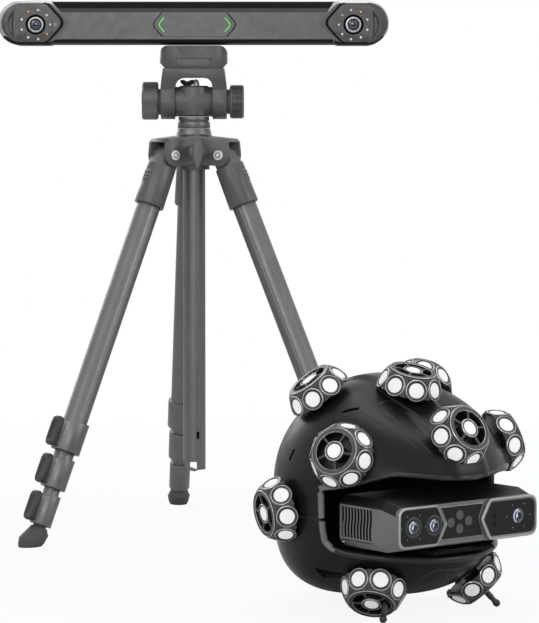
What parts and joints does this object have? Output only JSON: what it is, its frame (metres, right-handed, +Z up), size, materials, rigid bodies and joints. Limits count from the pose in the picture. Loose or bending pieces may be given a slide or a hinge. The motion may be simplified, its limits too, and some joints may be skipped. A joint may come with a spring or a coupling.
{
  "type": "optical tracking scanner set",
  "caption": "Two-lens tracker bar on a pan and tilt head with a folding tripod, beside a ball-shaped marker shell that carries a hand scanner.",
  "frame": {"origin": "middle of the floor rectangle under the whole set", "axes": "+Z up; the tracker bar is long along X and looks along -Y, towards the side on which the ball stands"},
  "size_m": [0.6824, 1.0878, 0.7323],
  "materials": {
    "cast_grey": "satin",
    "tube_grey": "satin",
    "clamp_grey": "matte",
    "boot_rubber": "matte",
    "steel": "satin",
    "bar_dark": "satin",
    "face_grey": "satin",
    "shell_black": "matte",
    "drum_black": "satin",
    "scanner_black": "satin",
    "lens_glass": "gloss"
  },
  "bodies": {
    "base": {"leg_crown": "cast_grey", "shell_upper": "shell_black", "shell_lower": "shell_black", "crown_drum": "drum_black", "brow_drum": "drum_black", "left_temple_drum": "drum_black", "right_temple_drum": "drum_black", "left_upper_drum": "drum_black", "right_upper_drum": "drum_black", "left_side_drum": "drum_black", "right_side_drum": "drum_black", "left_chin_drum": "drum_black", "right_chin_drum": "drum_black", "scanner_body": "scanner_black", "left_window_plate": "scanner_black", "right_window_plate": "scanner_black", "grip_cradle": "scanner_black"},
    "column": {"centre_column": "tube_grey", "pan_base": "steel"},
    "pan": {"tilt_body": "cast_grey"},
    "head": {"tilt_fork": "cast_grey", "quick_release": "cast_grey", "bar_housing": "face_grey", "centre_cover": "face_grey", "left_end_cover": "bar_dark", "right_end_cover": "bar_dark", "left_lens": "lens_glass", "right_lens": "lens_glass"},
    "tilt_knob": {"tilt_knob": "clamp_grey"},
    "pan_knob": {"pan_knob": "clamp_grey"},
    "release_button": {"release_button": "clamp_grey"},
    "column_lever": {"column_lever": "cast_grey"},
    "left_leg": {"left_leg_shoulder": "cast_grey", "left_leg_section_1": "tube_grey"},
    "left_tube_2": {"left_leg_section_2": "tube_grey"},
    "left_tube_3": {"left_leg_section_3": "tube_grey"},
    "left_tube_4": {"left_leg_section_4": "boot_rubber"},
    "left_lever_1": {"left_leg_lever_1": "clamp_grey"},
    "left_lever_2": {"left_leg_lever_2": "clamp_grey"},
    "left_lever_3": {"left_leg_lever_3": "clamp_grey"},
    "right_leg": {"right_leg_shoulder": "cast_grey", "right_leg_section_1": "tube_grey"},
    "right_tube_2": {"right_leg_section_2": "tube_grey"},
    "right_tube_3": {"right_leg_section_3": "tube_grey"},
    "right_tube_4": {"right_leg_section_4": "boot_rubber"},
    "right_lever_1": {"right_leg_lever_1": "clamp_grey"},
    "right_lever_2": {"right_leg_lever_2": "clamp_grey"},
    "right_lever_3": {"right_leg_lever_3": "clamp_grey"},
    "rear_leg": {"rear_leg_shoulder": "cast_grey", "rear_leg_section_1": "tube_grey"},
    "rear_tube_2": {"rear_leg_section_2": "tube_grey"},
    "rear_tube_3": {"rear_leg_section_3": "tube_grey"},
    "rear_tube_4": {"rear_leg_section_4": "boot_rubber"},
    "rear_lever_1": {"rear_leg_lever_1": "clamp_grey"},
    "rear_lever_2": {"rear_leg_lever_2": "clamp_grey"},
    "rear_lever_3": {"rear_leg_lever_3": "clamp_grey"},
    "key_up": {"key_up": "clamp_grey"},
    "key_down": {"key_down": "clamp_grey"},
    "key_left": {"key_left": "clamp_grey"},
    "key_right": {"key_right": "clamp_grey"}
  },
  "joints": [
    {"name": "column_slide", "type": "slide", "parent": "base", "child": "column", "axis": [0, 0, 1], "range_m": [0, 0.28]},
    {"name": "pan_turn", "type": "hinge", "parent": "column", "child": "pan", "pos_m": [-0.07372, 0.2595, 0.5942], "axis": [0, 0, 1], "continuous": true},
    {"name": "head_tilt", "type": "hinge", "parent": "pan", "child": "head", "pos_m": [-0.07372, 0.2595, 0.5942], "axis": [1, 0, 0], "range_deg": [-90, 90]},
    {"name": "tilt_knob_turn", "type": "hinge", "parent": "pan", "child": "tilt_knob", "pos_m": [-0.13372, 0.2595, 0.5942], "axis": [1, 0, 0], "continuous": true},
    {"name": "pan_knob_turn", "type": "hinge", "parent": "pan", "child": "pan_knob", "pos_m": [-0.01371, 0.2595, 0.5942], "axis": [1, 0, 0], "continuous": true},
    {"name": "release_press", "type": "slide", "parent": "head", "child": "release_button", "axis": [0, 1, 0], "range_m": [0, 0.003], "stiffness_N_per_m": 800},
    {"name": "column_lever_turn", "type": "hinge", "parent": "base", "child": "column_lever", "pos_m": [-0.06774, 0.20784, 0.5255], "axis": [0.1149, -0.9934, 0], "range_deg": [0, 120]},
    {"name": "left_leg_fold", "type": "hinge", "parent": "base", "child": "left_leg", "pos_m": [-0.11145, 0.23147, 0.521], "axis": [0.5962, -0.8028, 0], "range_deg": [0, 22.7]},
    {"name": "left_tube_2_slide", "type": "slide", "parent": "left_leg", "child": "left_tube_2", "axis": [-0.3098, -0.2301, -0.9225], "range_m": [0, 0.28]},
    {"name": "left_tube_3_slide", "type": "slide", "parent": "left_tube_2", "child": "left_tube_3", "axis": [-0.3098, -0.2301, -0.9225], "range_m": [0, 0.28]},
    {"name": "left_tube_4_slide", "type": "slide", "parent": "left_tube_3", "child": "left_tube_4", "axis": [-0.3098, -0.2301, -0.9225], "range_m": [0, 0.28]},
    {"name": "left_lever_1_flip", "type": "hinge", "parent": "left_leg", "child": "left_lever_1", "pos_m": [-0.26435, 0.13224, 0.15349], "axis": [-0.3098, -0.2301, -0.9225], "range_deg": [0, 110]},
    {"name": "left_lever_2_flip", "type": "hinge", "parent": "left_tube_2", "child": "left_lever_2", "pos_m": [-0.27839, 0.12182, 0.10444], "axis": [-0.3098, -0.2301, -0.9225], "range_deg": [0, 110]},
    {"name": "left_lever_3_flip", "type": "hinge", "parent": "left_tube_3", "child": "left_lever_3", "pos_m": [-0.29264, 0.11123, 0.0555], "axis": [-0.3098, -0.2301, -0.9225], "range_deg": [0, 110]},
    {"name": "right_leg_fold", "type": "hinge", "parent": "base", "child": "right_leg", "pos_m": [-0.03058, 0.24083, 0.521], "axis": [0.3971, 0.9178, 0], "range_deg": [0, 22.7]},
    {"name": "right_tube_2_slide", "type": "slide", "parent": "right_leg", "child": "right_tube_2", "axis": [0.3542, -0.1533, -0.9225], "range_m": [0, 0.28]},
    {"name": "right_tube_3_slide", "type": "slide", "parent": "right_tube_2", "child": "right_tube_3", "axis": [0.3542, -0.1533, -0.9225], "range_m": [0, 0.28]},
    {"name": "right_tube_4_slide", "type": "slide", "parent": "right_tube_3", "child": "right_tube_4", "axis": [0.3542, -0.1533, -0.9225], "range_m": [0, 0.28]},
    {"name": "right_lever_1_flip", "type": "hinge", "parent": "right_leg", "child": "right_lever_1", "pos_m": [0.13181, 0.15803, 0.15349], "axis": [0.3542, -0.1533, -0.9225], "range_deg": [0, 110]},
    {"name": "right_lever_2_flip", "type": "hinge", "parent": "right_tube_2", "child": "right_lever_2", "pos_m": [0.14785, 0.15108, 0.10444], "axis": [0.3542, -0.1533, -0.9225], "range_deg": [0, 110]},
    {"name": "right_lever_3_flip", "type": "hinge", "parent": "right_tube_3", "child": "right_lever_3", "pos_m": [0.16415, 0.14403, 0.0555], "axis": [0.3542, -0.1533, -0.9225], "range_deg": [0, 110]},
    {"name": "rear_leg_fold", "type": "hinge", "parent": "base", "child": "rear_leg", "pos_m": [-0.07912, 0.30618, 0.521], "axis": [-0.9934, -0.1149, 0], "range_deg": [0, 22.7]},
    {"name": "rear_tube_2_slide", "type": "slide", "parent": "rear_leg", "child": "rear_tube_2", "axis": [-0.0444, 0.3833, -0.9225], "range_m": [0, 0.28]},
    {"name": "rear_tube_3_slide", "type": "slide", "parent": "rear_tube_2", "child": "rear_tube_3", "axis": [-0.0444, 0.3833, -0.9225], "range_m": [0, 0.28]},
    {"name": "rear_tube_4_slide", "type": "slide", "parent": "rear_tube_3", "child": "rear_tube_4", "axis": [-0.0444, 0.3833, -0.9225], "range_m": [0, 0.28]},
    {"name": "rear_lever_1_flip", "type": "hinge", "parent": "rear_leg", "child": "rear_lever_1", "pos_m": [-0.0886, 0.48822, 0.15349], "axis": [-0.0444, 0.3833, -0.9225], "range_deg": [0, 110]},
    {"name": "rear_lever_2_flip", "type": "hinge", "parent": "rear_tube_2", "child": "rear_lever_2", "pos_m": [-0.09061, 0.50558, 0.10444], "axis": [-0.0444, 0.3833, -0.9225], "range_deg": [0, 110]},
    {"name": "rear_lever_3_flip", "type": "hinge", "parent": "rear_tube_3", "child": "rear_lever_3", "pos_m": [-0.09265, 0.52323, 0.0555], "axis": [-0.0444, 0.3833, -0.9225], "range_deg": [0, 110]},
    {"name": "key_up_press", "type": "slide", "parent": "base", "child": "key_up", "axis": [-0.6225, 0.7826, 0], "range_m": [0, 0.001], "stiffness_N_per_m": 1500},
    {"name": "key_down_press", "type": "slide", "parent": "base", "child": "key_down", "axis": [-0.6225, 0.7826, 0], "range_m": [0, 0.001], "stiffness_N_per_m": 1500},
    {"name": "key_left_press", "type": "slide", "parent": "base", "child": "key_left", "axis": [-0.6225, 0.7826, 0], "range_m": [0, 0.001], "stiffness_N_per_m": 1500},
    {"name": "key_right_press", "type": "slide", "parent": "base", "child": "key_right", "axis": [-0.6225, 0.7826, 0], "range_m": [0, 0.001], "stiffness_N_per_m": 1500}
  ]
}
